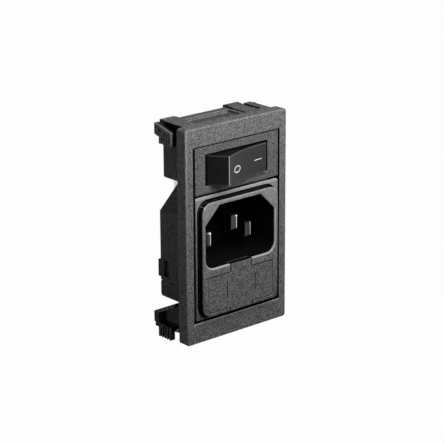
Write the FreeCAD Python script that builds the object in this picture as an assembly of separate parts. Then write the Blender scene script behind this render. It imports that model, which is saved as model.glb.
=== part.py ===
"""Panel module: a snap-in bezel that carries a two-pole rocker switch above a fused C14 inlet.

Millimetres. X runs to the right seen from the front, Y runs back through the panel, Z is up.
The origin is the centre of the bezel's rear face, which seats against the panel.
"""
import FreeCAD
import Part
import math
import os

V = FreeCAD.Vector

# ---- bezel and its window --------------------------------------------------------------------
bezel_width = 34.8
bezel_height = 58.6
bezel_depth = 3.4
bezel_corner = 0.8            # radius of the four corners, seen from the front
bezel_edge = 0.3              # round along the front edge
window_width = 30.2
window_height = 48.0
window_rise = 0.3             # window centre above the bezel centre
ledge_width = 1.35            # step that the two modules seat on
ledge_depth = 1.1

# ---- skirt plates behind the bezel -----------------------------------------------------------
skirt_depth = 8.2
skirt_wall = 1.5
top_inset = 2.4               # plate's ends inside the bezel's sides
bottom_inset = 4.9
pocket_width = 15.8           # shallow pocket in the top plate
pocket_centre = -2.9
pocket_start = 0.4
pocket_length = 5.5
pocket_depth = 0.8
tongue_start = 5.8            # sprung tongue between a narrow slot and a wide one
tongue_width = 4.7
tongue_length = 9.8
narrow_slot = 0.8
wide_slot = 1.2
slot_start = 0.3
flange_thickness = 1.1        # walls that hang from the top plate's ends
tongue_barb = 0.4
stop_width = 4.6              # fixed barb at the plate's other end
stop_rise = 0.3

# ---- side latches ----------------------------------------------------------------------------
latch_web = 1.1               # thickness of the plate that carries the latch
latch_proud = 1.5             # how far arm and grip stand out from that plate
latch_rim = 1.0
latch_hook = 2.9              # height of the hooked end
upper_drop = 0.2              # upper latch's end below the bezel's top
upper_reach = 9.1
upper_arm_start = 2.3
upper_fall = 1.7              # slope of the arm from its end to its start
upper_web_drop = 1.6          # plate's upper edge below the arm's, so a slot shows beside the skirt
upper_grip = (2.3, 7.3, 2.1, 5.2)      # start and end depth, top and bottom below the latch's top
lower_rise = 6.4              # lower latch's end above the bezel's bottom
lower_reach = 10.4
lower_arm_start = 2.1         # nothing stands out sideways within a 2 mm panel's thickness
lower_fall = -4.1
lower_web_start = 1.3
lower_web_rise = 4.5          # plate's upper edge at the bezel above the latch's top
lower_grip = (3.6, 8.6, 3.1, 6.7)
lower_web_bottom = 3.4        # plate's lower edge below the latch's top
grip_ribs = 5
grip_groove = 0.6
grip_floor = 0.4              # plastic left under the grooves
right_drop = 0.5              # right upper latch sits a little lower than the left one

# ---- fits ------------------------------------------------------------------------------------
side_gap = 0.5                # module faces to the window's sides
top_gap = 0.15                # switch face to the window's top
bottom_gap = 0.6              # inlet face to the window's bottom
split_gap = 0.45              # between the two module faces
face_set_back = 0.1           # module faces behind the bezel's front
running_gap = 0.05            # trunnions and sliding pins
slide_gap = 0.1               # drawer in its bay
swing_gap = 0.3               # rocker sides to the housing
contact_gap = 0.12            # sprung contacts to what they press on

# ---- module faces ----------------------------------------------------------------------------
split_height = 11.0           # line between the two modules, above the bezel centre
face_thickness = 2.2

# ---- rocker switch ---------------------------------------------------------------------------
rocker_centre = 17.62         # height of the rocker's middle
rocker_length = 21.2
rocker_height = 7.9
rocker_rest_tilt = 13.0       # right end pressed in
ridge_half = 8.3              # ridges of the untilted rocker, either side of the pivot
ridge_height = 7.1            # above the pivot
end_height = 1.5              # outer ends of the sloping shoulders, above the pivot
dish_depth = 0.8
ridge_round = 0.25
rocker_skirt = 2.2            # rocker ends below the pivot
rocker_wall = 1.1
stem_half = 1.9
stem_reach = 2.6
pivot_depth = 4.3             # pivot behind the module face
trunnion_radius = 1.0
trunnion_length = 0.75
housing_wall = 0.75
housing_length = 24.4
housing_depth = 11.9          # rear of the housing behind the bezel seat
base_thickness = 1.6
pole_pitch = 4.2
divider_wall = 0.7
divider_reach = 3.2
plunger_radius = 0.9
plunger_length = 4.2
plunger_travel = 0.3          # how far it gives as the rocker snaps over
spring_room = 2.4             # bore left behind the plunger
spring_radius = 0.72
spring_wire = 0.14            # half the width across the corners of the drawn wire
spring_turns = 3
lever_half = 6.9
lever_width = 2.4
lever_thickness = 0.4
lever_depth = 7.4             # lever's knife edge behind the pivot
lever_tilt = 7.0
lever_dish = 6.0              # degrees that each arm is bent up from level
contact_x = 5.9
contact_radius = 1.0
contact_height = 0.45
tab_thickness = 0.8
switch_tab_width = 2.8
switch_tab_reach = 5.5

# ---- inlet -----------------------------------------------------------------------------------
face_proud = 1.6              # raised block in front of the bezel
block_inset = 1.95            # block's sides inside the window's
block_top = 9.2
block_bottom = -22.2
block_corner = 3.0
block_edge = 0.25
moat_width = 0.6              # groove between the block and the face plate's outer strip
moat_depth = 1.6
flange_corner = 1.0
face_edge = 0.2               # bevel round the switch's and the inlet's face plates
body_inset = 1.65
body_top = 10.3
body_bottom = -20.7
body_rear = 12.2
body_shoulder = 6.5           # chamfer on the body's top corners
body_round = 1.6
recess_inset = 3.0
recess_top = 8.0
recess_height = 16.9
recess_shoulder = 4.9         # chamfer on the recess's top corners
recess_round = 2.8
recess_lip = 0.6              # round on the recess's front edge
recess_floor = 10.5
pin_width = 4.0
pin_thickness = 2.0
pin_pitch = 7.0
pin_row_drop = 2.45           # line and neutral below the recess centre
earth_rise = 1.55             # earth above the recess centre
earth_tip = 2.4               # behind the rim
power_tip = 4.8
pin_bevel = 0.5
blade_width = 4.8
earth_blade_reach = 10.0
blade_reach = 8.0
blade_chamfer = 1.0
earth_blade_lift = 4.8

# ---- fuse drawer and its fuses ---------------------------------------------------------------
drawer_inset = 3.7            # drawer's face plate inside the window
drawer_top = -11.1
drawer_bottom = -21.2
drawer_face = 1.7
drawer_corner = 1.2           # bottom corners of the face
drawer_edge = 0.2
grip_line_x = 4.95            # upright grooves either side of the pull
grip_line_width = 0.25
grip_line_top = -13.5
grip_line_length = 4.7
foot_notch = 0.3
bay_floor = 10.6
tab_half = 3.8                # pull tab that reaches up to the recess
foot_half = 4.1               # foot that reaches down to the block's lower edge
drawer_wall = 0.9
pocket_wall = 0.6             # between the spare fuse and the working one
fuse_height = -15.85          # both fuses, above the bezel centre
fuse_length = 20.0
fuse_radius = 2.6
glass_radius = 2.3
glass_wall = 0.45
cap_length = 5.0
cap_wall = 0.3
fuse_wire_radius = 0.12
spare_depth = -0.15           # centre of the spare fuse behind the bezel seat
cradle_half = 4.3
clip_thickness = 0.4
clip_width = 3.4
clip_inset = 0.7              # clip's outer side inside the fuse's end
clip_reach = 3.2
strap_thickness = 0.8
line_blade_drop = 1.5         # fused line blade below the right clip's middle
catch_top = -9.7              # moulded catch on the inlet's left side
catch_height = 4.7
catch_proud = 0.5
catch_start = 10.4
catch_end = 12.6
catch_pocket = 1.7            # hollow in the body's side in front of the catch
catch_pocket_depth = 0.9
seam_height = -15.5
seam_groove = 0.35

# ---- derived places --------------------------------------------------------------------------
front = -bezel_depth
face_front = front + face_set_back
face_rear = face_front + face_thickness
ledge_front = -ledge_depth
window_top = window_rise + window_height / 2
window_bottom = window_rise - window_height / 2
face_half = window_width / 2 - side_gap
block_width = window_width - 2 * block_inset
body_width = window_width - 2 * body_inset
recess_width = window_width - 2 * recess_inset
drawer_width = window_width - 2 * drawer_inset
rim_front = front - face_proud
recess_bottom = recess_top - recess_height
recess_centre = recess_top - recess_height / 2
power_z = recess_centre - pin_row_drop
earth_z = recess_centre + earth_rise
pivot_y = face_front + pivot_depth
opening_half_height = rocker_height / 2 + swing_gap
opening_half_length = math.hypot(rocker_length / 2, end_height) + swing_gap / 2
base_front = housing_depth - base_thickness
lever_y = pivot_y + lever_depth
plunger_tip = lever_depth - lever_thickness - contact_gap
fuse_depth = spare_depth + 2 * fuse_radius + 2 * slide_gap + pocket_wall
tray_half = fuse_length / 2 + slide_gap + drawer_wall
tray_rise = fuse_radius + drawer_wall
bay_half = tray_half + slide_gap
bay_rise = tray_rise + slide_gap
clip_back = fuse_depth + fuse_radius + contact_gap
pole_heights = {"upper": rocker_centre + pole_pitch / 2, "lower": rocker_centre - pole_pitch / 2}


def box(x0, x1, y0, y1, z0, z1):
    return Part.makeBox(x1 - x0, y1 - y0, z1 - z0, V(x0, y0, z0))


def prism_front(points, y0, y1):
    """Closed outline of (x, z) points, run from y0 back to y1."""
    wire = Part.makePolygon([V(x, y0, z) for x, z in points + points[:1]])
    return Part.Face(wire).extrude(V(0, y1 - y0, 0))


def prism_side(points, x0, x1):
    """Closed outline of (y, z) points, run from x0 across to x1."""
    wire = Part.makePolygon([V(x0, y, z) for y, z in points + points[:1]])
    return Part.Face(wire).extrude(V(x1 - x0, 0, 0))


def prism_plan(points, z0, z1):
    """Closed outline of (x, y) points, run from z0 up to z1."""
    wire = Part.makePolygon([V(x, y, z0) for x, y in points + points[:1]])
    return Part.Face(wire).extrude(V(0, 0, z1 - z0))


def rod(axis, x, y, z, radius, length):
    """Cylinder that starts at (x, y, z) and runs along +axis."""
    return Part.makeCylinder(radius, length, V(x, y, z), axis)


def edges_along(shape, axis, keep):
    """The straight edges of shape parallel to axis whose middle passes keep(x, y, z)."""
    found = []
    for edge in shape.Edges:
        if len(edge.Vertexes) != 2:
            continue
        run = edge.Vertexes[1].Point - edge.Vertexes[0].Point
        if run.Length < 1e-6 or abs(abs(run.normalize().dot(axis)) - 1) > 1e-6:
            continue
        middle = edge.CenterOfMass
        if keep(middle.x, middle.y, middle.z):
            found.append(edge)
    return found


def mirrored(shape):
    return shape.mirror(V(0, 0, 0), V(1, 0, 0))


def block_round(x_half, z0, z1, y0, y1, radius):
    """Rounded rectangle centred on x = 0."""
    solid = box(-x_half, x_half, y0, y1, z0, z1)
    return solid.makeFillet(radius, edges_along(solid, V(0, 1, 0), lambda x, y, z: True))


# ---- panel frame -----------------------------------------------------------------------------
def latch(top, reach, arm_start, fall, grip, web):
    """One left-hand latch: a plate, a sloping arm with a hooked end, and a ribbed grip.

    web is the plate's outline as (y, z) points; the arm ends at (reach, top) and starts fall lower.
    """
    outer = -bezel_width / 2
    face = outer + latch_proud
    plate = prism_side(web, face, face + latch_web)
    start, end, upper_edge, lower_edge = grip
    hook = reach - latch_rim * 1.5
    under_arm = top - latch_rim - fall * (reach - hook) / (reach - arm_start)
    arm = prism_side([(arm_start, top - fall), (reach, top), (reach, top - latch_hook),
                      (hook, top - latch_hook - latch_rim / 2), (hook, under_arm),
                      (arm_start, top - fall - latch_rim)], outer, face)
    pad = box(outer, face, start, end, top - lower_edge, top - upper_edge)
    pitch = (end - start) / grip_ribs
    for i in range(1, grip_ribs):
        groove = start + i * pitch
        pad = pad.cut(box(outer - 1, face - grip_floor, groove - grip_groove / 2,
                          groove + grip_groove / 2, top - lower_edge - 1, top - upper_edge + 1))
    bridge = box(outer, face, end - latch_rim, reach - latch_rim / 2, top - upper_edge - latch_rim,
                 top - upper_edge)
    return plate.fuse([arm, pad, bridge]).removeSplitter()


def upper_latch():
    top = bezel_height / 2 - upper_drop
    edge = top - upper_fall - upper_web_drop + latch_rim / 2
    low = top - upper_grip[3] + latch_rim
    web = [(0, edge), (upper_arm_start, edge), (upper_reach, top - upper_web_drop),
           (upper_reach, top - latch_hook), (upper_grip[1], top - latch_hook - latch_rim),
           (upper_grip[1], low), (0, low)]
    return latch(top, upper_reach, upper_arm_start, upper_fall, upper_grip, web)


def lower_latch():
    top = -bezel_height / 2 + lower_rise
    low = top - lower_web_bottom
    web = [(0, top + lower_web_rise), (lower_web_start, top + lower_web_rise), (lower_reach, top),
           (lower_reach, top - latch_hook), (lower_grip[1], low), (lower_grip[1], low - latch_rim),
           (lower_grip[0], low - latch_rim), (lower_arm_start, low), (0, low)]
    return latch(top, lower_reach, lower_arm_start, lower_fall, lower_grip, web)


def skirt_plate(top):
    """Top or bottom plate of the frame, with a sprung barbed tongue and a fixed barb."""
    sign = 1 if top else -1
    outside = sign * bezel_height / 2
    inside = outside - sign * skirt_wall
    low, high = min(outside, inside), max(outside, inside)
    half = bezel_width / 2 - (top_inset if top else bottom_inset)
    plate = box(-half, half, 0, skirt_depth, low, high)
    shift = 0 if top else top_inset - bottom_inset
    left = tongue_start + narrow_slot + shift
    right = left + tongue_width
    slots = [box(left - narrow_slot, left, slot_start, skirt_depth + 1, low - 1, high + 1),
             box(right, right + wide_slot, slot_start + narrow_slot, skirt_depth + 1, low - 1, high + 1)]
    ramp_start = tongue_length * 0.55
    tongue = prism_side([(0, inside), (0, outside), (ramp_start, outside),
                         (tongue_length - narrow_slot, outside + sign * tongue_barb),
                         (tongue_length, outside + sign * tongue_barb / 2), (tongue_length, inside)],
                        left, right)
    stop = prism_side([(ramp_start, inside), (ramp_start, outside), (skirt_depth, outside + sign * stop_rise),
                       (tongue_length, outside + sign * stop_rise / 2), (tongue_length, inside)],
                      -half, -half + stop_width)
    plate = plate.cut(slots[0]).cut(slots[1]).fuse([tongue, stop])
    if top:
        x0, x1 = pocket_centre - pocket_width / 2, pocket_centre + pocket_width / 2
        y1 = pocket_start + pocket_length
        pocket = prism_plan([(x0, pocket_start), (x1, pocket_start), (x1, y1), (x0 + pocket_length / 3, y1),
                             (x0, y1 - pocket_length / 4)], outside - pocket_depth, outside + 1)
        plate = plate.cut(pocket)
        low = outside - upper_drop - upper_grip[3] + latch_rim
        plate = plate.fuse([box(-half, -half + flange_thickness, 0, skirt_depth, low, outside),
                            box(half - flange_thickness, half, 0, skirt_depth, low, outside)])
    return plate.removeSplitter()


def front_edges(shape, y):
    """Edges of shape that lie in the plane at depth y."""
    return [e for e in shape.Edges if abs(e.BoundBox.YMin - y) < 1e-6 and abs(e.BoundBox.YMax - y) < 1e-6]


def panel_frame():
    """Bezel, ledge, skirt plates and four latches: one moulding."""
    ring = block_round(bezel_width / 2, -bezel_height / 2, bezel_height / 2, front, 0, bezel_corner)
    ring = ring.makeFillet(bezel_edge, front_edges(ring, front))
    ring = ring.cut(box(-window_width / 2, window_width / 2, front - 1, ledge_front, window_bottom,
                        window_top))
    ring = ring.cut(box(-window_width / 2 + ledge_width, window_width / 2 - ledge_width, ledge_front - 1, 1,
                        window_bottom + ledge_width, window_top - ledge_width))
    parts = [skirt_plate(True), skirt_plate(False)]
    for left, drop in ((upper_latch(), right_drop), (lower_latch(), 0)):
        parts += [left, mirrored(left).translated(V(0, 0, -drop))]
    return ring.fuse(parts).removeSplitter()


# ---- rocker switch ---------------------------------------------------------------------------
def tilted(shape, degrees, y=None):
    """Turned about the upright line through x = 0 at depth y; positive presses the right end in."""
    return shape.rotate(V(0, pivot_y if y is None else y, 0), V(0, 0, 1), degrees)


def rocker():
    """Rocker cap with two ridges, a dished face, a hollow back, a stem and two trunnions."""
    low, high = rocker_centre - rocker_height / 2, rocker_centre + rocker_height / 2
    end = rocker_length / 2

    def at(x, up):
        return V(x, pivot_y - up, low)

    dish = Part.Arc(at(-ridge_half, ridge_height), at(0, ridge_height - dish_depth),
                    at(ridge_half, ridge_height)).toShape()
    corners = [at(ridge_half, ridge_height), at(end, end_height), at(end - rocker_wall / 2, -rocker_skirt),
               at(-end + rocker_wall / 2, -rocker_skirt), at(-end, end_height), at(-ridge_half, ridge_height)]
    outline = Part.Wire([dish] + Part.makePolygon(corners).Edges)
    cap = Part.Face(outline).extrude(V(0, 0, rocker_height))
    ridges = edges_along(cap, V(0, 0, 1), lambda x, y, z: abs(abs(x) - ridge_half) < 1e-6)
    cap = cap.makeFillet(ridge_round, ridges)
    inner_end = end - rocker_wall * 1.5
    roof = ridge_height - dish_depth - rocker_wall * 1.3
    for side in (-1, 1):
        outline = ((stem_half, -rocker_skirt - 1), (stem_half, roof), (ridge_half - rocker_wall, roof),
                   (inner_end, end_height), (inner_end, -rocker_skirt - 1))
        hollow = prism_plan([(side * x, pivot_y - up) for x, up in outline], low + rocker_wall * 0.8,
                            high - rocker_wall * 0.8)
        cap = cap.cut(hollow)
    stem = box(-stem_half, stem_half, pivot_y, pivot_y + stem_reach, low + rocker_wall, high - rocker_wall)
    trunnion = rod(V(0, 0, 1), 0, pivot_y, low - trunnion_length, trunnion_radius,
                   rocker_height + 2 * trunnion_length)
    cap = cap.fuse([stem, trunnion])
    bottom = pivot_y + plunger_tip - plunger_length - spring_room
    for height in pole_heights.values():
        cap = cap.cut(rod(V(0, 1, 0), 0, bottom, height, plunger_radius + running_gap,
                          pivot_y + stem_reach + 1 - bottom))
    return tilted(cap.removeSplitter(), rocker_rest_tilt)


def plunger(height):
    """Round-nosed pin that slides in the rocker's stem."""
    start = pivot_y + plunger_tip - plunger_length
    shank = rod(V(0, 1, 0), 0, start, height, plunger_radius, plunger_length - plunger_radius)
    nose = Part.makeSphere(plunger_radius, V(0, pivot_y + plunger_tip - plunger_radius, height))
    return tilted(shank.fuse(nose).removeSplitter(), rocker_rest_tilt)


def plunger_spring(height):
    """Coil spring between the bottom of the stem's bore and the plunger, clear of the plunger's travel."""
    start = pivot_y + plunger_tip - plunger_length - spring_room + running_gap
    length = spring_room - 2 * running_gap - plunger_travel - 2 * spring_wire
    helix = Part.makeHelix(length / spring_turns, length, spring_radius)
    across, along = spring_wire, spring_wire * 0.7
    corners = [V(spring_radius + x, 0, z) for x, z in
               ((across, 0), (0, along), (-across, 0), (0, -along), (across, 0))]
    coil = Part.Wire(helix.Edges).makePipeShell([Part.makePolygon(corners)], True, True)
    coil = coil.rotate(V(0, 0, 0), V(1, 0, 0), -90)
    coil.translate(V(0, start + spring_wire, height))
    return tilted(coil, rocker_rest_tilt)


def switch_housing():
    """Face plate with the rocker's opening, and the box behind it."""
    low, high = rocker_centre - opening_half_height, rocker_centre + opening_half_height
    half = opening_half_length
    face = box(-face_half, face_half, face_front, face_rear, split_height + split_gap / 2,
               window_top - top_gap)
    face = face.makeChamfer(face_edge, front_edges(face, face_front))
    shell = box(-housing_length / 2, housing_length / 2, face_rear, housing_depth,
                low - housing_wall, high + housing_wall)
    corner_edges = edges_along(shell, V(0, 1, 0), lambda x, y, z: True)
    shell = shell.makeFillet(housing_wall, corner_edges)
    body = face.fuse(shell)
    body = body.cut(box(-half, half, face_front - 1, housing_depth + 1, low, high))
    body = body.cut(rod(V(0, 0, 1), 0, pivot_y, low - housing_wall * 2, trunnion_radius + running_gap,
                        high - low + 4 * housing_wall))
    return body.removeSplitter()


def switch_base():
    """Rear plate of the switch with the wall between its poles; the tabs pass through it."""
    low, high = rocker_centre - opening_half_height, rocker_centre + opening_half_height
    half = opening_half_length
    plate = box(-half + slide_gap, half - slide_gap, base_front, housing_depth, low + slide_gap,
                high - slide_gap)
    divider = box(-half + 1, half - 1, base_front - divider_reach, base_front,
                  rocker_centre - divider_wall / 2, rocker_centre + divider_wall / 2)
    plate = plate.fuse(divider)
    for height in pole_heights.values():
        for x in (0, -contact_x):
            plate = plate.cut(box(x - tab_thickness / 2, x + tab_thickness / 2, base_front - 1,
                                  housing_depth + 1, height - switch_tab_width / 2,
                                  height + switch_tab_width / 2))
    return plate.removeSplitter()


def contact_lever(height):
    """See-saw strip, bent up at both arms; its left arm is down on the fixed contact at rest."""
    rise = math.tan(math.radians(lever_dish)) * lever_half
    low = height - lever_width / 2
    strip = prism_plan([(-lever_half, lever_y - rise), (0, lever_y), (lever_half, lever_y - rise),
                        (lever_half, lever_y - rise - lever_thickness), (0, lever_y - lever_thickness),
                        (-lever_half, lever_y - rise - lever_thickness)], low, low + lever_width)
    return tilted(strip, -lever_tilt, lever_y)


def lever_back(x):
    """Depth of the lever's rear face at x, before it is tilted."""
    return lever_y - math.tan(math.radians(lever_dish)) * abs(x)


def moving_contact(height):
    """Round contact riveted behind the lever's left arm."""
    button = rod(V(0, 1, 0), -contact_x, lever_back(contact_x), height, contact_radius, contact_height)
    button = button.rotate(V(-contact_x, lever_back(contact_x), 0), V(0, 0, 1), lever_dish)
    return tilted(button, -lever_tilt, lever_y)


def closed_contact_plane():
    """Depth of the moving contact's face when the lever is down."""
    turn = math.radians(lever_tilt)
    x, y = -contact_x, lever_back(contact_x) + contact_height - lever_y
    return lever_y - math.sin(turn) * x + math.cos(turn) * y


def fixed_contact(height):
    """Round contact on the fixed terminal, facing the lever's."""
    top = closed_contact_plane() + contact_gap
    return rod(V(0, 1, 0), -contact_x, top, height, contact_radius, contact_height)


def switch_tab(x, start, height):
    """Flat blade from start to its chamfered end behind the housing."""
    low = height - switch_tab_width / 2
    high = height + switch_tab_width / 2
    end = housing_depth + switch_tab_reach
    nip = switch_tab_width / 5
    return prism_side([(start, low), (end - nip, low), (end, low + nip), (end, high - nip), (end - nip, high),
                       (start, high)], x - tab_thickness / 2, x + tab_thickness / 2)


def contact_terminal(height):
    """Terminal whose head carries the fixed contact."""
    head_top = closed_contact_plane() + contact_gap + contact_height
    blade = switch_tab(-contact_x, head_top, height)
    head = box(-contact_x - contact_radius, -contact_x + contact_radius, head_top, base_front,
               height - lever_width / 2, height + lever_width / 2)
    return blade.fuse(head).removeSplitter()


def common_terminal(height):
    """Terminal that the lever rocks on."""
    return switch_tab(0, lever_y + contact_gap, height)


# ---- inlet -----------------------------------------------------------------------------------
def shouldered(half, z0, z1, shoulder, y0, y1, bottom_round):
    """Inlet outline: chamfered top corners and rounded bottom corners."""
    points = [(-half, z0), (half, z0), (half, z1 - shoulder), (half - shoulder, z1), (-half + shoulder, z1),
              (-half, z1 - shoulder)]
    solid = prism_front(points, y0, y1)
    bottom = edges_along(solid, V(0, 1, 0), lambda x, y, z: z < z0 + 0.01)
    return solid.makeFillet(bottom_round, bottom)


def inlet_body():
    """Flange, raised block, C14 recess and fuse drawer bay: one moulding."""
    flange = block_round(face_half, window_bottom + bottom_gap, split_height - split_gap / 2, face_front,
                         face_rear, flange_corner)
    flange = flange.makeChamfer(face_edge, front_edges(flange, face_front))
    moat = block_round(block_width / 2 + moat_width, block_bottom - moat_width, block_top + moat_width,
                       face_front - 1, face_front + moat_depth, block_corner + moat_width)
    block = block_round(block_width / 2, block_bottom, block_top, rim_front, face_rear, block_corner)
    block = block.makeChamfer(block_edge, front_edges(block, rim_front))
    rear = shouldered(body_width / 2, body_bottom, body_top, body_shoulder, face_rear, body_rear, body_round)
    body = flange.cut(moat).fuse([block, rear])
    body = body.cut(shouldered(recess_width / 2, recess_bottom, recess_top, recess_shoulder, rim_front - 1,
                               recess_floor, recess_round))
    lip = [e for e in front_edges(body, rim_front)
           if abs(e.CenterOfMass.x) < recess_width / 2 + 0.1 and e.BoundBox.ZMax < recess_top + 0.1
           and e.BoundBox.ZMin > recess_bottom - 0.1]
    body = body.makeFillet(recess_lip, lip)
    seat = rim_front + drawer_face + slide_gap
    half = drawer_width / 2 + slide_gap
    face_space = block_round(half, drawer_bottom - slide_gap, drawer_top + slide_gap + drawer_corner,
                             rim_front - 1, seat, drawer_corner)
    body = body.cut(face_space.common(box(-half, half, rim_front - 1, seat, drawer_bottom - slide_gap,
                                          drawer_top + slide_gap)))
    body = body.cut(box(-tab_half - slide_gap, tab_half + slide_gap, rim_front - 1, seat, drawer_top - 1,
                        recess_bottom + 1))
    body = body.cut(box(-foot_half - slide_gap, foot_half + slide_gap, rim_front - 1, seat, block_bottom - 1,
                        drawer_bottom + 1))
    body = body.cut(box(-bay_half, bay_half, rim_front, bay_floor, fuse_height - bay_rise,
                        fuse_height + bay_rise))
    for x, height in pin_places().values():
        body = body.cut(box(x - pin_thickness / 2, x + pin_thickness / 2, recess_floor - 1, body_rear + 1,
                            height - pin_width / 2, height + pin_width / 2))
    half = body_width / 2
    for side in (-1, 1):
        groove = box(half - seam_groove, half + 1, bezel_depth, body_rear + 1, seam_height - seam_groove,
                     seam_height)
        body = body.cut(groove if side > 0 else mirrored(groove))
    body = body.cut(box(-half - 1, -half + catch_pocket_depth, catch_start - catch_pocket, catch_start,
                        catch_top - catch_height, catch_top))
    catch = box(-half - catch_proud, -half + 1, catch_start, catch_end, catch_top - catch_height, catch_top)
    catch = catch.cut(box(-bay_half, 0, catch_start - 1, bay_floor, catch_top - catch_height - 1,
                          catch_top + 1))
    body = body.fuse(catch)
    for space in strap_spaces():
        body = body.cut(space)
    return body.removeSplitter()


def pin_places():
    return {"line": (-pin_pitch, power_z), "neutral": (pin_pitch, power_z), "earth": (0, earth_z)}


def pin(name, tip_depth, blade_shift, reach):
    """Flat pin with a bevelled tip, and its blade behind the body."""
    x, z = pin_places()[name]
    tip = rim_front + tip_depth
    shank = box(x - pin_thickness / 2, x + pin_thickness / 2, tip, body_rear, z - pin_width / 2,
                z + pin_width / 2)
    tip_edges = [e for e in shank.Edges if abs(e.BoundBox.YMax - tip) < 1e-6]
    shank = shank.makeChamfer(pin_bevel, tip_edges)
    if reach <= 0:
        return shank
    low = z + blade_shift - blade_width / 2
    high = low + blade_width
    end = body_rear + reach
    blade = prism_side([(body_rear, low), (end - blade_chamfer, low), (end, low + blade_chamfer),
                        (end, high - blade_chamfer), (end - blade_chamfer, high), (body_rear, high)],
                       x - tab_thickness / 2, x + tab_thickness / 2)
    foot = box(x - pin_thickness / 2, x + pin_thickness / 2, body_rear, body_rear + tab_thickness,
               min(low, z - pin_width / 2), max(high, z + pin_width / 2))
    return shank.fuse([blade, foot]).removeSplitter()


# ---- fuse drawer -----------------------------------------------------------------------------
def fuse_drawer():
    """Drawer with a face, a closed pocket for the spare fuse and an open cradle for the working one."""
    half = drawer_width / 2
    face_back = rim_front + drawer_face
    face = block_round(half, drawer_bottom, drawer_top + drawer_corner, rim_front, face_back, drawer_corner)
    face = face.common(box(-half, half, rim_front, face_back, drawer_bottom, drawer_top))
    pull = box(-tab_half, tab_half, rim_front, face_back, drawer_top - 1, recess_bottom)
    foot = box(-foot_half, foot_half, rim_front, face_back, block_bottom, drawer_bottom + 1)
    for side in (-1, 1):
        foot = foot.cut(box(side * foot_half - foot_notch, side * foot_half + foot_notch, rim_front - 1,
                            rim_front + foot_notch, drawer_bottom - foot_notch, drawer_bottom))
    face = face.fuse([pull, foot]).removeSplitter()
    face = face.makeChamfer(drawer_edge, front_edges(face, rim_front))
    for side in (-1, 1):
        x = side * grip_line_x
        face = face.cut(box(x - grip_line_width / 2, x + grip_line_width / 2, rim_front - 1,
                            rim_front + grip_line_width, grip_line_top - grip_line_length, grip_line_top))
    pocket_back = spare_depth + fuse_radius + slide_gap
    tray = box(-tray_half, tray_half, face_back, pocket_back + pocket_wall, fuse_height - tray_rise,
               fuse_height + tray_rise)
    pocket = box(-tray_half + drawer_wall, tray_half - drawer_wall, spare_depth - fuse_radius - slide_gap,
                 pocket_back, fuse_height - fuse_radius - slide_gap, fuse_height + tray_rise + 1)
    cradle = box(-cradle_half, cradle_half, pocket_back, fuse_depth + fuse_radius - pocket_wall,
                 fuse_height - tray_rise, fuse_height + fuse_radius)
    bore = glass_radius + slide_gap
    trough = rod(V(1, 0, 0), -cradle_half - 1, fuse_depth, fuse_height, bore, 2 * cradle_half + 2)
    mouth = box(-cradle_half - 1, cradle_half + 1, fuse_depth - bore, fuse_depth + bore, fuse_height,
                fuse_height + fuse_radius + 1)
    body = face.fuse(tray).cut(pocket)
    return body.fuse(cradle.cut(trough).cut(mouth)).removeSplitter()


def fuse_cap(depth, side):
    """Pressed metal cup on one end of a fuse."""
    cup = rod(V(1, 0, 0), fuse_length / 2 - cap_length, depth, fuse_height, fuse_radius, cap_length)
    cup = cup.cut(rod(V(1, 0, 0), fuse_length / 2 - cap_length - 1, depth, fuse_height,
                      fuse_radius - cap_wall, cap_length + 1 - cap_wall))
    return cup if side > 0 else mirrored(cup)


def fuse_tube(depth):
    """Glass tube of a fuse."""
    half = fuse_length / 2 - cap_wall
    tube = rod(V(1, 0, 0), -half, depth, fuse_height, fuse_radius - cap_wall, 2 * half)
    return tube.cut(rod(V(1, 0, 0), -half - 1, depth, fuse_height, glass_radius - glass_wall, 2 * half + 2))


def fuse_wire(depth):
    """Element stretched between a fuse's caps."""
    half = fuse_length / 2 - cap_wall
    return rod(V(1, 0, 0), -half, depth, fuse_height, fuse_wire_radius, 2 * half)


def clip_spring():
    """Left spring clip: two arms that grip the cap, open to the front, with flared lips."""
    gap = fuse_radius + running_gap
    back = clip_back
    start = fuse_depth - clip_reach / 2
    lip = start - clip_thickness * 2
    outer = gap + clip_thickness
    x0 = -fuse_length / 2 + clip_inset
    arms = []
    for sign in (-1, 1):
        outline = [(back + clip_thickness, outer), (back + clip_thickness, 0), (back, 0), (back, gap),
                   (start, gap), (lip, gap + clip_thickness), (lip, outer + clip_thickness), (start, outer)]
        arms.append(prism_side([(y, fuse_height + sign * up) for y, up in outline], x0, x0 + clip_width))
    return arms[0].fuse(arms[1]).removeSplitter()


def stem_space(side):
    """Slot in the body's rear wall that a clip's stem passes through."""
    x1 = fuse_length / 2 - clip_inset + running_gap
    x0 = x1 - clip_width - 2 * running_gap
    half = clip_width / 2 + running_gap
    space = box(x0, x1, bay_floor - 1, body_rear + 1, fuse_height - half, fuse_height + half)
    return space if side > 0 else mirrored(space)


def strap_spaces():
    return [stem_space(-1), stem_space(1)]


def clip_stem():
    """Left clip's stem, from the clip's back to the outside of the rear wall."""
    x0 = -fuse_length / 2 + clip_inset
    return box(x0, x0 + clip_width, clip_back, body_rear + strap_thickness, fuse_height - clip_width / 2,
               fuse_height + clip_width / 2)


def fuse_clip_left():
    """Left clip; a strap on the rear wall joins its stem to the line pin."""
    x0 = -fuse_length / 2 + clip_inset
    strap = box(x0, -pin_pitch + pin_thickness / 2, body_rear, body_rear + strap_thickness,
                fuse_height - clip_width / 2, power_z + pin_width / 2)
    return clip_spring().fuse([clip_stem(), strap]).removeSplitter()


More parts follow.
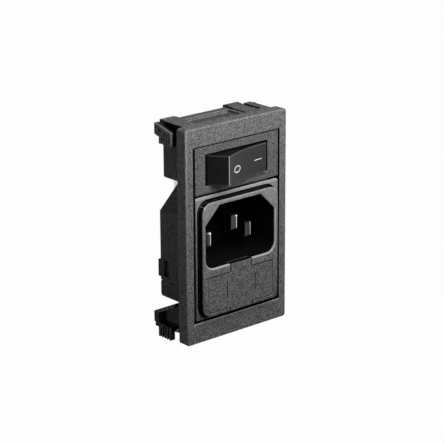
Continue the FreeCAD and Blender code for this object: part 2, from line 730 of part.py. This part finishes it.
def fuse_clip_right():
    """Right clip; its stem carries the blade for the fused line wire."""
    x = fuse_length / 2 - clip_inset - clip_width / 2
    low = fuse_height - line_blade_drop - blade_width / 2
    high = low + blade_width
    end = body_rear + strap_thickness + blade_reach
    blade = prism_side([(body_rear, low), (end - blade_chamfer, low), (end, low + blade_chamfer),
                        (end, high - blade_chamfer), (end - blade_chamfer, high), (body_rear, high)],
                       x - strap_thickness / 2, x + strap_thickness / 2)
    return mirrored(clip_spring().fuse(clip_stem())).fuse(blade).removeSplitter()


def build():
    nodes = {
        "panel_frame": panel_frame(),
        "switch_housing": switch_housing(),
        "switch_base": switch_base(),
        "rocker": rocker(),
        "inlet_body": inlet_body(),
        "line_pin": pin("line", power_tip, 0, 0),
        "neutral_pin": pin("neutral", power_tip, 0, blade_reach),
        "earth_pin": pin("earth", earth_tip, earth_blade_lift, earth_blade_reach),
        "fuse_drawer": fuse_drawer(),
        "fuse_clip_left": fuse_clip_left(),
        "fuse_clip_right": fuse_clip_right(),
    }
    for pole, height in pole_heights.items():
        nodes["plunger_" + pole] = plunger(height)
        nodes["plunger_spring_" + pole] = plunger_spring(height)
        nodes["contact_lever_" + pole] = contact_lever(height)
        nodes["moving_contact_" + pole] = moving_contact(height)
        nodes["fixed_contact_" + pole] = fixed_contact(height)
        nodes["contact_terminal_" + pole] = contact_terminal(height)
        nodes["common_terminal_" + pole] = common_terminal(height)
    for name, depth in (("fuse", fuse_depth), ("spare_fuse", spare_depth)):
        nodes[name + "_tube"] = fuse_tube(depth)
        nodes[name + "_wire"] = fuse_wire(depth)
        nodes[name + "_cap_left"] = fuse_cap(depth, -1)
        nodes[name + "_cap_right"] = fuse_cap(depth, 1)
    return nodes


os.makedirs("parts", exist_ok=True)
for node, shape in build().items():
    shape.exportStep("parts/" + node + ".step")
    print(node, shape.isValid(), len(shape.Solids), round(shape.Volume, 2))
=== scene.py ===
"""Looks of a snap-in panel frame that holds a rocker switch above a fused C14 inlet."""
import math
import bmesh
import bpy
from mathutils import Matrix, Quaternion, Vector
from mathutils.bvhtree import BVHTree


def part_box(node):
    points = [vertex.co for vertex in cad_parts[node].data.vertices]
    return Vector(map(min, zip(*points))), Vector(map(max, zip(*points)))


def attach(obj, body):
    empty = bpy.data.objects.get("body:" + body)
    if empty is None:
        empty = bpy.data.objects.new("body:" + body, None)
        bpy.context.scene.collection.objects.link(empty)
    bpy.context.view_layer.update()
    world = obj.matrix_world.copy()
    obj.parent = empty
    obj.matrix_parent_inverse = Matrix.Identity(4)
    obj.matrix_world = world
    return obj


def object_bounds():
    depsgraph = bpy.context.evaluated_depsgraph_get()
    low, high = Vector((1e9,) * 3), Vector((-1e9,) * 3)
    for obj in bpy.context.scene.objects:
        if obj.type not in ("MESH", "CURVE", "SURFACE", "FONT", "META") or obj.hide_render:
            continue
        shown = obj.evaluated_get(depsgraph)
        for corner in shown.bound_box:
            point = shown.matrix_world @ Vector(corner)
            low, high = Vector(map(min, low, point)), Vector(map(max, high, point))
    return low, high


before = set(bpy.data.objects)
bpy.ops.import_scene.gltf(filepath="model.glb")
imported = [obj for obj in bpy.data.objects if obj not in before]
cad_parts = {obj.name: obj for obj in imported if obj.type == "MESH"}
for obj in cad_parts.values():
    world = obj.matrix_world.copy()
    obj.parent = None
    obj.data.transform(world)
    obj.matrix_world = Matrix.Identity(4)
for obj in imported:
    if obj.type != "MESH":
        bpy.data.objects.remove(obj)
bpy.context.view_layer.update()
MM = 0.001


# ---- camera ----------------------------------------------------------------------------------
# It looks at the unit from the front left and a little above, from half a metre away, with a
# long lens. The place is measured from the centre of the bezel's rear face.
camera_place = Vector((-294.8, -337.5, 147.6)) * MM
camera_turn = math.radians(40.909)
camera_drop = math.radians(18.16)
camera_roll = math.radians(-0.3)
camera_lens = 144.7

level = math.cos(camera_drop)
aim = Vector((level * math.sin(camera_turn), level * math.cos(camera_turn), -math.sin(camera_drop)))
turn = aim.to_track_quat("-Z", "Y") @ Quaternion((0, 0, 1), camera_roll)
camera = bpy.data.objects.new("camera", bpy.data.cameras.new("camera"))
camera.data.lens = camera_lens
camera.data.sensor_width = 36
camera.data.clip_start = 0.01
camera.location = camera_place
camera.rotation_euler = turn.to_euler()
bpy.context.scene.collection.objects.link(camera)
bpy.context.scene.camera = camera
bpy.context.scene.view_settings.view_transform = "Standard"


# ---- panel frame -----------------------------------------------------------------------------
# The bezel with its latches is one moulding in black thermoplastic. The tool that shaped it was
# spark eroded, which leaves a fine grain of pits and peaks that glints where light grazes it.
class Value:
    """One socket of a material, with the arithmetic that the finishes use."""

    def __init__(self, tree, socket):
        self.tree = tree
        self.socket = socket

    def node(self, kind, settings, sockets, output=0):
        """A new node in the same material: settings first, then its sockets' values or links."""
        made = self.tree.nodes.new(kind)
        for name, setting in settings.items():
            if name == "stops":
                for stop, (position, tone) in zip(made.color_ramp.elements, setting):
                    stop.position = position
                    stop.color = (tone, tone, tone, 1)
            else:
                setattr(made, name, setting)
        for name, given in sockets.items():
            if isinstance(given, Value):
                self.tree.links.new(given.socket, made.inputs[name])
            else:
                made.inputs[name].default_value = given
        return Value(self.tree, made.outputs[output])

    def maths(self, operation, first, second):
        return self.node("ShaderNodeMath", {"operation": operation}, {0: first, 1: second})

    def __add__(self, other):
        return self.maths("ADD", self, other)

    def __radd__(self, other):
        return self.maths("ADD", other, self)

    def __sub__(self, other):
        return self.maths("SUBTRACT", self, other)

    def __rsub__(self, other):
        return self.maths("SUBTRACT", other, self)

    def __mul__(self, other):
        return self.maths("MULTIPLY", self, other)

    def __rmul__(self, other):
        return self.maths("MULTIPLY", other, self)

    def __or__(self, other):
        """The larger of the two, so either of two areas."""
        return self.maths("MAXIMUM", self, other)

    def above(self, edge):
        return self.maths("GREATER_THAN", self, edge)

    def below(self, edge):
        return self.maths("LESS_THAN", self, edge)

    def between(self, low, high):
        return self.above(low) * self.below(high)

    def near(self, middle, reach):
        """1 where self is less than reach away from middle, on either side."""
        return (self - middle).size().below(reach)

    def size(self):
        return self.maths("ABSOLUTE", self, 0)

    def axes(self):
        """The three parts of a place or a normal."""
        split = self.tree.nodes.new("ShaderNodeSeparateXYZ")
        self.tree.links.new(self.socket, split.inputs[0])
        return [Value(self.tree, part) for part in split.outputs]

    def noise(self, grain, detail=2.0, rough=0.5):
        """Smooth noise from 0 to 1 whose lumps are about grain metres across; self is a place."""
        return self.node("ShaderNodeTexNoise", {}, {"Vector": self, "Scale": 1 / grain, "Detail": detail,
                                                    "Roughness": rough})

    def ramp(self, low, high):
        """0 below low, 1 above high."""
        return self.node("ShaderNodeValToRGB", {"stops": [(low, 0), (high, 1)]}, {"Fac": self})

    def blend(self, colour_0, colour_1, held=False):
        """colour_0 where self is 0, colour_1 where it is 1; held stops it from going past them."""
        return self.node("ShaderNodeMix", {"data_type": "RGBA", "clamp_factor": held},
                         {0: self, 6: colour_0, 7: colour_1}, output=2)


def material(name, fixed):
    """A plain shader with its fixed sockets set, the place on the object, and a way to link."""
    made = bpy.data.materials.new(name)
    made.use_nodes = True
    tree = made.node_tree
    shader = tree.nodes["Principled BSDF"]
    for socket, value in fixed.items():
        shader.inputs[socket].default_value = value
    place = Value(tree, tree.nodes.new("ShaderNodeTexCoord").outputs["Object"])

    def link(**varying):
        for socket, value in varying.items():
            tree.links.new(value.socket, shader.inputs[socket.replace("_", " ")])

    return made, place, link


def grey(level):
    return (level, level, level, 1)


def facing(place):
    """The direction in which the surface faces, before any rounding."""
    return place.node("ShaderNodeNewGeometry", {}, {}, output="Normal")


def rounded(place, radius):
    """The normal with its edges rounded off, and a value that is 1 on those edges and 0 elsewhere."""
    edge = place.node("ShaderNodeBevel", {"samples": 6}, {"Radius": radius})
    agreement = edge.node("ShaderNodeVectorMath", {"operation": "DOT_PRODUCT"}, {0: edge, 1: facing(place)},
                          output="Value")
    return edge, (1 - agreement).ramp(0.02, 0.16)


spark_grain = 0.27 * MM
spark_depth = 0.04 * MM
# the rounded edges are also painted paler as a highlight, about this wide
spark_edge = 0.26 * MM             # radius to which the tool's edges wore
spark_roughness = 0.55
polished_roughness = 0.25
# near black, painted where shade falls on the plastic
shade_black = grey(0.005)


def spark_plastic(name, level, polish_and_shade, painted_light=None):
    """Black plastic with a spark-eroded grain: paler peaks, painted highlights on the edges, rougher pits.

    The polish and shade mask is 1 where the tool left a polish and where shade is painted; the plastic is
    plain there and painted near black.
    The painted light function gives how much paler the surface is painted as highlight, or darker as painted
    shade when below 0.
    """
    made, place, link = material(name, {"Specular IOR Level": 0.05, "IOR": 1.5})
    pits = place.noise(spark_grain, rough=0.7)
    peaks = pits.ramp(0.36, 0.66)
    clouds = place.noise(6 * MM)
    edge, painted_edge_highlight = rounded(place, spark_edge)
    # the rounded edges get a painted highlight on top of the grain's tone
    tone = peaks * 0.9 + clouds * 0.1 + painted_edge_highlight * 1.0
    if painted_light:
        tone = tone + painted_light(place)
    tone = (tone | 0).blend(grey(level * 0.15), grey(level * 2.1))
    # 1 where the tool left a polish and where shade is painted; the colour is painted near black there
    polished_and_shaded = polish_and_shade(place)
    rough = spark_roughness + 0.12 * (1 - peaks)
    bump = place.node("ShaderNodeBump", {}, {"Strength": 0.6, "Distance": spark_depth,
                                             "Height": pits * (1 - polished_and_shaded), "Normal": edge})
    link(Base_Color=polished_and_shaded.blend(tone, shade_black, held=True),
         Roughness=rough * (1 - polished_and_shaded) + polished_roughness * polished_and_shaded, Normal=bump)
    return made


def dress(names, finish):
    """Give these pieces one finish."""
    for name in names:
        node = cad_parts[name]
        node.data.materials.clear()
        node.data.materials.append(finish)


frame_level = 0.11
frame_low, frame_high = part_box("panel_frame")
bezel_front = frame_low.y
bezel_face = bezel_front + 0.38 * MM             # the skin of the front, with its rounded edges
behind_bezel = 0.15 * MM
plate_top = frame_high.z - 0.4 * MM              # the bezel's top too; the barbs rise above it
top_parts = 24 * MM                              # the top plate and all that hangs from it
pocket_across = (-10.8 * MM, 5.0 * MM)
pocket_along = (0.4 * MM, 5.9 * MM)
pocket_depth = 0.9 * MM
window_half = 15.15 * MM                         # half the window's width, with its ledge
window_rise = 24.05 * MM                         # half its height
window_middle = 0.3 * MM
window_sill = -23.85 * MM
slots_across = (5.3 * MM, 13.5 * MM)             # slots that free the sprung tongue
# painted shadow strips on the top plate beside the tongue's slots
slit_shadows_across = (6.7 * MM, 12.75 * MM)
slit_shadow_half = 0.3 * MM
slit_shadow_start = 0.7 * MM
upper_latch = (13.5 * MM, 16.8 * MM)             # inside of a latch, to either side of the middle
upper_latch_foot = 18 * MM
lower_latch = (12 * MM, 17.2 * MM)
lower_latch_head = -18.9 * MM
lower_latch_end = 8.9 * MM
lower_grips_top = -23 * MM


def frame_polish_and_shade(place):
    """Painted shade, smooth as well: the window's walls, the tongue's slots, painted shadow strips beside
    them, and the latches' inner sides.
    """
    x, y, z = place.axes()
    # the window's walls are painted black as shade
    window = x.near(0, window_half) * z.near(window_middle, window_rise) * y.above(bezel_front + 0.2 * MM)
    slots = x.between(*slots_across) * z.between(top_parts, plate_top - 0.06 * MM)
    # painted shadow strips beside the slots
    slit_shadows = (x.near(slit_shadows_across[0], slit_shadow_half) | x.near(slit_shadows_across[1], slit_shadow_half)) * y.above(slit_shadow_start)
    upper = x.size().between(*upper_latch) * z.between(upper_latch_foot, plate_top - 0.12 * MM)
    lower = x.size().between(*lower_latch) * z.below(lower_latch_head) * y.below(lower_latch_end)
    return window | (slots | slit_shadows * z.above(top_parts) | upper | lower) * y.above(behind_bezel)


def frame_painted_light(place):
    """Painted highlights on the window's sill, the left and top front edges and the latch's front edge;
    painted shade in the pocket, on the grips, behind the bezel and on the top face; and the whole frame
    painted paler towards the top.
    """
    x, y, z = place.axes()
    # painted highlight along the window's sill
    sill = x.near(0, window_half + 0.05 * MM) * z.near(window_sill, 0.16 * MM)
    sill = sill * y.below(bezel_front + 0.4 * MM)
    # painted highlight along the left front edge and the top front edge
    left_edge = x.below(frame_low.x + 0.42 * MM) * y.below(bezel_face) * (0.25 + 11 * z)     # most at the top
    top_edge = z.above(plate_top - 0.35 * MM) * y.below(bezel_front + 0.35 * MM)
    latch_edge = x.below(frame_low.x + 0.2 * MM) * y.between(0.5 * MM, 2.8 * MM) * z.above(20 * MM)
    pocket = x.between(*pocket_across) * y.between(*pocket_along)
    pocket = pocket * z.between(plate_top - pocket_depth, plate_top - 0.05 * MM)
    grips = z.below(lower_grips_top) * y.above(0.5 * MM)
    # painted highlights, and the frame painted paler towards the top and darker towards the bottom
    painted_light = 0.5 * sill + left_edge + 0.25 * top_edge + 0.6 * latch_edge + 2.2 * z
    # painted shade in the pocket, on the grips, behind the bezel and on the top face
    painted_shade = 0.25 * pocket + 0.4 * grips + 0.08 * y.above(0.05 * MM) + 0.16 * z.above(plate_top - 0.1 * MM)
    return painted_light - painted_shade


dress(["panel_frame"], spark_plastic("frame_plastic", frame_level, frame_polish_and_shade, frame_painted_light))


# ---- rocker switch ---------------------------------------------------------------------------
# The housing and its rear plate are moulded like the frame. The rocker comes from a finer tool,
# so it has a soft sheen and shallow ripples but no grain. The gap round each is painted black as shade.
switch_level = 0.095
switch_low, switch_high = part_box("switch_housing")
switch_face = switch_low.y
face_rim = 0.12 * MM               # depth of the skin in front of the face's sides
behind_face = -0.3 * MM            # where the sides come out of the panel's window


def switch_polish_and_shade(place):
    """Painted shade, smooth as well: the sides of the face, the walls of the rocker's opening, and thin lines
    along the face's left and top edges.
    """
    x, y, z = place.axes()
    # thin painted shadow lines along the face's left and top edges
    margin = x.below(switch_low.x + 0.44 * MM) | z.above(switch_high.z - 0.22 * MM)
    return (margin | y.above(switch_face + face_rim)) * y.below(behind_face)


dress(["switch_housing", "switch_base"], spark_plastic("switch_plastic", switch_level, switch_polish_and_shade))

rocker_level = 0.019
rocker_grain = 0.12 * MM
rocker_ripple = 0.008 * MM
rocker_edge = 0.24 * MM
rocker_low, rocker_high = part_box("rocker")
rocker_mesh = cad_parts["rocker"].data
rocker_front = min(vertex.co.y for vertex in rocker_mesh.vertices)
ridge_ends = [vertex.co for vertex in rocker_mesh.vertices if vertex.co.y < rocker_front + 0.001 * MM]
ridge = ridge_ends[0].x
cap_bottom = min(end.z for end in ridge_ends)
cap_top = max(end.z for end in ridge_ends)

rocker_plastic, place, link = material("rocker_plastic", {"Specular IOR Level": 0.12, "IOR": 1.5})
x, _, z = place.axes()
ripples = place.noise(rocker_grain, detail=1.0)
wipe = place.noise(2.5 * MM, detail=3.0)
edge = rounded(place, rocker_edge)[0]
# painted shade: the top and the right end are painted near black
unlit = z.above(cap_top - 0.04 * MM) | x.above(rocker_high.x - 0.36 * MM)         # top and right end
# painted highlights along the top and bottom edges of the face
rim_highlights = z.above(cap_top - 0.3 * MM) * (1 - unlit) + z.below(cap_bottom + 0.15 * MM)
# painted highlight along the ridge
glint = x.near(ridge, 0.16 * MM)
# paler towards the right; the left slope is painted darker as shade, and the painted highlights are added
tone = wipe + 90 * x - 2.0 * x.below(ridge) + 8 * rim_highlights + 40 * glint
tone = tone * (1 - unlit) - 2.3 * unlit
bump = place.node("ShaderNodeBump", {}, {"Strength": 0.2, "Distance": rocker_ripple, "Height": ripples,
                                         "Normal": edge})
link(Base_Color=tone.blend(grey(rocker_level * 0.85), grey(rocker_level * 1.2)),
     Roughness=0.34 + 0.08 * wipe, Normal=bump)
dress(["rocker"], rocker_plastic)


# ---- marks on the rocker ---------------------------------------------------------------------
# A ring and a dash are pad printed in white on the dished face. The ink stands a few hundredths
# of a millimetre proud and follows the curve, so each mark is a thin closed strip laid on it.
ink_proud = 0.03 * MM
ring_place = (-2.38 * MM, -0.62 * MM)     # across from the unit's middle, up from the rocker's
ring_half = (1.34 * MM, 0.82 * MM)
ring_line = 0.22 * MM
ring_steps = 72
dash_place = (6.5 * MM, -0.13 * MM)
dash_length = 2.8 * MM
dash_line = 0.18 * MM
dash_steps = 12

ink, place, link = material("white_ink", {"Specular IOR Level": 0.4})
specks = place.noise(0.15 * MM)
link(Base_Color=specks.blend(grey(0.78), grey(0.9)), Roughness=0.45 + 0.1 * specks)

rocker_skin = BVHTree.FromPolygons([vertex.co for vertex in rocker_mesh.vertices],
                                   [list(face.vertices) for face in rocker_mesh.polygons])
rocker_middle = (rocker_low + rocker_high) / 2


def on_rocker(across, up, proud):
    """The point of the rocker's face at that place, moved outwards by proud."""
    start = Vector((across, rocker_low.y - MM, rocker_middle.z + up))
    spot, normal = rocker_skin.ray_cast(start, Vector((0, 1, 0)))[:2]
    return spot + normal * proud


def printed_mark(name, inner, outer, closed):
    """A strip of ink between two rows of (across, up) points on the rocker's face."""
    mesh = bmesh.new()
    corners = ((inner, -ink_proud), (inner, ink_proud), (outer, ink_proud), (outer, -ink_proud))
    rows = [[mesh.verts.new(on_rocker(across, up, proud)) for across, up in row] for row, proud in corners]
    count = len(inner)
    for i in range(count if closed else count - 1):
        j = (i + 1) % count
        for a, b in zip(rows, rows[1:] + rows[:1]):
            mesh.faces.new((a[i], a[j], b[j], b[i]))
    if not closed:
        mesh.faces.new([row[0] for row in rows])
        mesh.faces.new([row[-1] for row in reversed(rows)])
    bmesh.ops.recalc_face_normals(mesh, faces=mesh.faces)
    data = bpy.data.meshes.new(name)
    mesh.to_mesh(data)
    mesh.free()
    for face in data.polygons:
        face.use_smooth = False
    mark = bpy.data.objects.new(name, data)
    mark.data.materials.append(ink)
    bpy.context.scene.collection.objects.link(mark)
    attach(mark, "rocker")


def oval(grow):
    """The ring's outline, grown outwards."""
    turns = [2 * math.pi * i / ring_steps for i in range(ring_steps)]
    return [(ring_place[0] + (ring_half[0] + grow) * math.cos(t),
             ring_place[1] + (ring_half[1] + grow) * math.sin(t)) for t in turns]


def dash_side(rise):
    """One long side of the dash."""
    steps = [dash_place[0] + dash_length * (i / dash_steps - 0.5) for i in range(dash_steps + 1)]
    return [(across, dash_place[1] + rise) for across in steps]


printed_mark("rocker_mark_ring", oval(-ring_line / 2), oval(ring_line / 2), True)
printed_mark("rocker_mark_dash", dash_side(-dash_line / 2), dash_side(dash_line / 2), False)


# ---- metal and springs inside the switch -----------------------------------------------------
# Terminals and see-saw levers are stamped from brass strip and tinned, the contacts are silver
# rivets, the springs are wound from music wire and the plungers are natural acetal.
rolling_stretch = 0.12             # scale of the streaks along the strip, against that across it
plate_clouds = 1.5 * MM
plate_depth = 0.01 * MM


def plated(name, colour, roughness, streak):
    """Plated strip: faint rolling streaks along the piece and a slightly uneven plate."""
    made, place, link = material(name, {"Metallic": 1.0})
    along = place.node("ShaderNodeMapping", {}, {"Vector": place, "Scale": (1, rolling_stretch, 1)})
    streaks = along.noise(streak, detail=3.0)
    clouds = place.noise(plate_clouds, detail=3.0)
    bump = place.node("ShaderNodeBump", {}, {"Strength": 0.15, "Distance": plate_depth, "Height": streaks})
    dull = tuple(0.82 * part for part in colour) + (1,)
    link(Base_Color=clouds.blend(dull, colour + (1,)), Roughness=roughness + 0.15 * streaks, Normal=bump)
    return made


def named(*starts):
    """The names of the pieces that start so."""
    return [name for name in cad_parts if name.startswith(starts)]


tinned_brass = plated("tinned_brass", (0.66, 0.65, 0.62), 0.32, 0.2 * MM)
silver = plated("contact_silver", (0.80, 0.79, 0.76), 0.30, 0.3 * MM)
music_wire = plated("spring_steel", (0.52, 0.52, 0.53), 0.28, 0.1 * MM)
dress(named("contact_", "common_"), tinned_brass)
dress(named("moving_contact", "fixed_contact"), silver)
dress(named("plunger_spring"), music_wire)

acetal, place, link = material("plunger_plastic", {"Subsurface Weight": 0.1, "Subsurface Scale": 0.3 * MM})
mottle = place.noise(0.6 * MM)
link(Base_Color=mottle.blend((0.66, 0.64, 0.58, 1), (0.76, 0.74, 0.69, 1)), Roughness=0.38 + 0.08 * mottle)
dress(["plunger_upper", "plunger_lower"], acetal)


# ---- inlet body ------------------------------------------------------------------------------
# Flange, raised rim, recess and body behind are one moulding, in the same black plastic as the
# frame. The recess and the groove round the rim have a polish from the tool, and are also painted near black
# as shade.
inlet_level = 0.12
inlet_low, inlet_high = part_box("inlet_body")
rim_front = inlet_low.y
groove_edges = (13.78 * MM, -22.83 * MM, 9.83 * MM)        # half width, bottom and top
recess_edges = (12.4 * MM, -9.2 * MM, 8.3 * MM)
groove_start = 0.32 * MM           # depths behind the rim's front
recess_start = 0.5 * MM
recess_lip = 0.2 * MM
rear_wall = 1.5 * MM
catch_side = -13.5 * MM            # the catch and its lug stand out of the left side past this
catch_start = 5 * MM
top_strip = 9.9 * MM               # the flange above the groove


def within(x, z, edges, grow=0):
    """1 between the sides, bottom and top of an area, grown outwards."""
    half, bottom, top = edges
    return x.near(0, half + grow) * z.between(bottom - grow, top + grow)


def inlet_polish_and_shade(place):
    """Painted shade, smooth as well: the groove round the rim, the sides of the flange, and the recess behind
    its rounded lip.
    """
    x, y, z = place.axes()
    inside = within(x, z, recess_edges)
    flange_front = y.near(switch_face, 0.03 * MM)
    groove = within(x, z, groove_edges) * y.above(rim_front + groove_start) * (1 - flange_front)
    flank = y.above(switch_face + face_rim) | x.below(inlet_low.x + 0.4 * MM)
    sides = (groove | flank) * y.below(behind_face)
    inwards = (facing(place).axes()[0] * x).below(MM)
    deep = inside * y.between(rim_front + recess_start, inlet_high.y - rear_wall) * inwards
    return sides * (1 - inside) + deep


def inlet_painted_light(place):
    """Painted light: the face painted paler towards the top, painted highlights on the top strip and the
    recess's lip, and painted shade behind the panel, more towards the bottom, and on the catch.
    """
    x, y, z = place.axes()
    face = y.below(0)
    lip = within(x, z, recess_edges, recess_lip) * y.between(rim_front + 0.05 * MM, rim_front + recess_start)
    catch = x.below(catch_side) * y.above(catch_start)
    # the face painted paler towards the top, with a painted highlight on the strip above the groove
    front = 0.18 + 20 * z + 0.4 * z.above(top_strip)
    return face * front + 0.9 * lip - (1 - face) * (0.15 - 5 * z) - 0.2 * catch


dress(["inlet_body"], spark_plastic("inlet_plastic", inlet_level, inlet_polish_and_shade, inlet_painted_light))


# ---- pins ------------------------------------------------------------------------------------
# Three flat pins are stamped from brass, bright nickel plated, and pressed into the body.
# The tips' flanks are painted dark as a painted reflection of the dark recess, and the nose and one edge of
# it are painted bright as highlights.
nickel_bright = (0.86, 0.85, 0.82, 1)
# dark colour painted as a reflection of the dark recess
nickel_dark_reflection = grey(0.03)
# painted highlight band on the tip's nose
nose_across = (0.38 * MM, 0.78 * MM)     # bright band on the tip, right of the pin's middle
tip_length = 0.4 * MM
tip_crown = 0.25 * MM


def pin_plate(name):
    low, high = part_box(name)
    made, place, link = material(name + "_plate", {"Metallic": 1.0})
    x, y, z = place.axes()
    clouds = place.noise(0.5 * MM, detail=3.0)
    across = x - (low.x + high.x) / 2
    nose = across.between(*nose_across)
    # painted highlight along the tip's top edge
    crown = (z + 0.9 * across).above(high.z - tip_crown)
    tip = y.below(low.y + tip_length)
    blade = y.above(inlet_high.y - 0.2 * MM)
    # painted reflection and highlights on the tip; the blade behind the body keeps the paler nickel
    painted_shine = tip * (1.15 * nose + 0.5 * crown * (1 - nose)) + 0.75 * blade + clouds * 0.07
    bump = place.node("ShaderNodeBump", {}, {"Strength": 0.15, "Distance": plate_depth, "Height": clouds})
    link(Base_Color=painted_shine.blend(nickel_dark_reflection, nickel_bright), Roughness=0.3 + 0.15 * clouds, Normal=bump)
    return made


for name in ("line_pin", "neutral_pin", "earth_pin"):
    dress([name], pin_plate(name))


# ---- fuse drawer -----------------------------------------------------------------------------
# The drawer's face sits flush in the raised rim. It is moulded in the same plastic, and holds
# the working fuse at the back and a spare behind the face.
drawer_level = 0.095
drawer_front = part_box("fuse_drawer")[0].y
plate_skin = 0.07 * MM
plate_back = 1.5 * MM
finger_grooves = 4.95 * MM                     # the two upright grooves, left and right of the middle
groove_half = 0.14 * MM
groove_rise = (-18.3 * MM, -13.4 * MM)
tab_half = 3.5 * MM
tab_bottom = -11.1 * MM
foot_half = 3.75 * MM
foot_top = -21.2 * MM
top_gap_start = 3.8 * MM                       # the gap above the plate starts beside the tab
top_gap_rise = (-11.3 * MM, -11.05 * MM)


def drawer_edge_shade(place):
    """Painted shade, smooth as well: the edge of the face plate, its finger grooves, and the gaps beside tab
    and foot.
    """
    x, y, z = place.axes()
    # painted shadow lines along the plate's edge, the grooves and the gaps
    sides = y.between(drawer_front + plate_skin, drawer_front + plate_back)
    grooves = x.size().near(finger_grooves, groove_half) * z.between(*groove_rise)
    tab = x.size().above(tab_half) * z.above(tab_bottom)
    foot = x.size().above(foot_half) * z.below(foot_top)
    top = x.size().above(top_gap_start) * z.between(*top_gap_rise)
    return sides | (grooves + tab + foot + top) * y.below(drawer_front + plate_back)


dress(["fuse_drawer"], spark_plastic("drawer_plastic", drawer_level, drawer_edge_shade))


# ---- fuses and their clips -------------------------------------------------------------------
# Glass tubes with plated caps pressed on, a fine wire inside, and sprung brass clips that grip
# the caps of the working fuse.
cap_metal = plated("fuse_cap_metal", (0.76, 0.74, 0.70), 0.22, 0.3 * MM)
fuse_wire = plated("tinned_wire", (0.6, 0.6, 0.6), 0.3, 0.1 * MM)
dress([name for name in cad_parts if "_cap_" in name], cap_metal)
dress([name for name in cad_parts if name.endswith("_wire")], fuse_wire)
dress(["fuse_clip_left", "fuse_clip_right"], tinned_brass)

glass, place, link = material("fuse_glass", {"Transmission Weight": 1.0, "IOR": 1.5,
                                             "Base Color": (0.95, 0.98, 0.97, 1)})
drawn = place.noise(3 * MM, detail=1.0)
link(Roughness=0.02 + 0.05 * drawn)
dress([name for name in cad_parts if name.endswith("_tube")], glass)


# ---- floor, backdrop and light ---------------------------------------------------------------
# A white table that curves up behind, seen as white with the unit's faint shadow kept. A soft
# light hangs close above the front, wider ones stand behind and at the right, and a weak small
# one is held at the upper left.
middle = (0, 0, 0)


def light(name, place, target, size, power):
    lamp = bpy.data.lights.new(name, "AREA")
    lamp.shape = "DISK"
    lamp.size = size
    lamp.energy = power
    holder = bpy.data.objects.new(name, lamp)
    holder.location = place
    holder.visible_camera = False
    holder.rotation_euler = (Vector(target) - Vector(place)).to_track_quat("-Z", "Y").to_euler()
    bpy.context.scene.collection.objects.link(holder)


light("top_light", place=(0.006, -0.085, 0.095), target=middle, size=0.12, power=0.23)
light("back_light", place=(0.2, 0.45, 0.02), target=middle, size=0.3, power=0.5)
light("right_light", place=(0.45, -0.45, 0.12), target=middle, size=0.35, power=0.25)
light("left_light", place=(-0.075, 0.01, 0.075), target=(0, 0, 0.01), size=0.03, power=0.007)

floor_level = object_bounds()[0][2] - 0.2 * MM
table_half = 1.5                   # metres, like the rest of the table
table_front = -1.2
bend_start = 0.5
bend_radius = 0.3
bend_steps = 12
wall_top = 1.2

bend = [math.pi / 2 * i / bend_steps for i in range(1, bend_steps + 1)]
sweep = [(table_front, 0.0), (bend_start, 0.0)]
sweep += [(bend_start + bend_radius * math.sin(t), bend_radius * (1 - math.cos(t))) for t in bend]
sweep += [(bend_start + bend_radius, wall_top)]
mesh = bmesh.new()
rows = [[mesh.verts.new((side, along, floor_level + up)) for along, up in sweep]
        for side in (-table_half, table_half)]
for i in range(len(sweep) - 1):
    mesh.faces.new((rows[0][i], rows[1][i], rows[1][i + 1], rows[0][i + 1]))
data = bpy.data.meshes.new("backdrop")
mesh.to_mesh(data)
mesh.free()
for face in data.polygons:
    face.use_smooth = True
backdrop = bpy.data.objects.new("backdrop", data)
bpy.context.scene.collection.objects.link(backdrop)


def looked_at(tree):
    """1 for rays from the camera and for those seen in a gloss or through glass, 0 for light."""
    path = tree.nodes.new("ShaderNodeLightPath")
    seen = Value(tree, path.outputs["Is Camera Ray"])
    for kind in ("Is Glossy Ray", "Is Transmission Ray"):
        seen = seen | Value(tree, path.outputs[kind])
    return seen


paper_grey = grey(0.3)
paper_share = 0.02                 # how much of the table's own shading is seen
paper = bpy.data.materials.new("white_paper")
paper.use_nodes = True
tree = paper.node_tree
shader = tree.nodes["Principled BSDF"]
shader.inputs["Roughness"].default_value = 0.9
shader.inputs["Base Color"].default_value = paper_grey
seen = looked_at(tree)
glow = seen.node("ShaderNodeEmission", {}, {"Color": grey(1), "Strength": 1.0})
lit = Value(tree, shader.outputs["BSDF"])
mixed = seen.node("ShaderNodeMixShader", {}, {0: seen * (1 - paper_share), 1: lit, 2: glow})
tree.links.new(mixed.socket, tree.nodes["Material Output"].inputs["Surface"])
backdrop.data.materials.append(paper)

sky_light = 0.035                  # the sky's share as a light; it is seen as plain white
world = bpy.data.worlds.new("studio")
world.use_nodes = True
bpy.context.scene.world = world
tree = world.node_tree
sky = tree.nodes["Background"]
sky.inputs["Color"].default_value = grey(1)
tree.links.new((sky_light + (1 - sky_light) * looked_at(tree)).socket, sky.inputs["Strength"])
